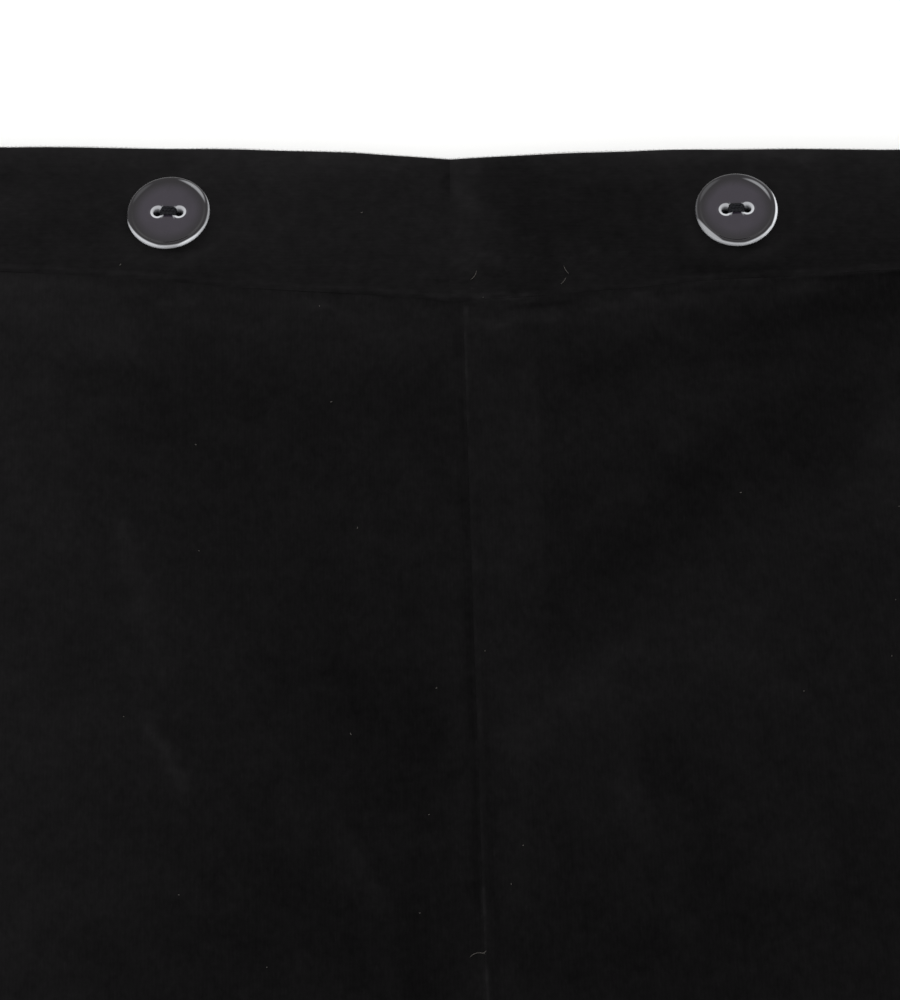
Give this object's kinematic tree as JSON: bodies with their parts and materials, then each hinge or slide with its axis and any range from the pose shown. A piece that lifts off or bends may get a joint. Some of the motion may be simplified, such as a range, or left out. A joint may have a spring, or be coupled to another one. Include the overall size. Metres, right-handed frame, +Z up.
{
  "type": "child's corduroy shorts laid flat",
  "caption": "Child's black needlecord pull-on shorts laid flat, front up, with a shaped waistband meeting in a V notch, smoke grey sew-through buttons, plain legs and turned hems.",
  "frame": {"origin": "on the surface that the shorts lie on, under the middle of their box", "axes": "+Z up out of the front, +Y towards the waist, +X towards the wearer's left leg, which is on the right of a viewer at the hems"},
  "size_m": [0.376, 0.2904, 0.0075],
  "materials": {
    "cord": "matt black needlecord, pile running down the legs",
    "band_cord": "matt black needlecord cut crosswise",
    "resin": "polished smoke grey polyester resin"
  },
  "bodies": {
    "root": {"front_left": "cord", "front_right": "cord", "back_left": "cord", "back_right": "cord", "waistband_front_left": "band_cord", "waistband_front_right": "band_cord", "waistband_back": "band_cord", "button_left": "resin", "button_right": "resin"}
  },
  "joints": []
}
